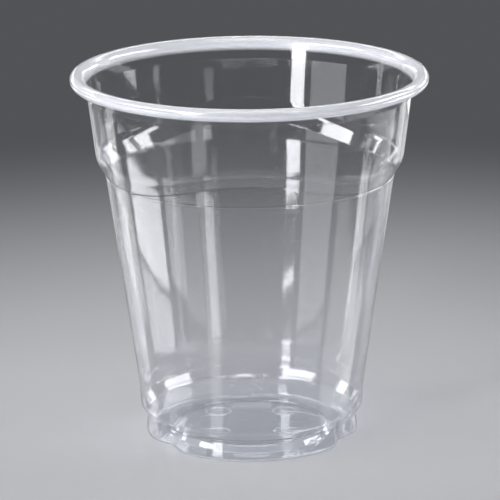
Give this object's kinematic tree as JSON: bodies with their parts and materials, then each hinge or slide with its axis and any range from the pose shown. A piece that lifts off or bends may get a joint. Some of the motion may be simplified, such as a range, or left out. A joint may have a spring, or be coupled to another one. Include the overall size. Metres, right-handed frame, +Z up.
{
  "type": "disposable plastic cup",
  "caption": "Clear thin-walled tapered drinking cup with a rolled rim, an arched stacking shoulder, a rounded heel and a notched foot around a raised base panel.",
  "frame": {"origin": "centre of the foot ring, on the surface the cup stands on", "axes": "+Z up along the cup's axis, -Y towards the viewer of the picture, one shoulder arch at -Y and one at +Y"},
  "size_m": [0.098, 0.098, 0.1029],
  "materials": {
    "clear_plastic": "clear glossy thermoformed PET sheet"
  },
  "bodies": {
    "root": {"cup": "clear_plastic"}
  },
  "joints": []
}
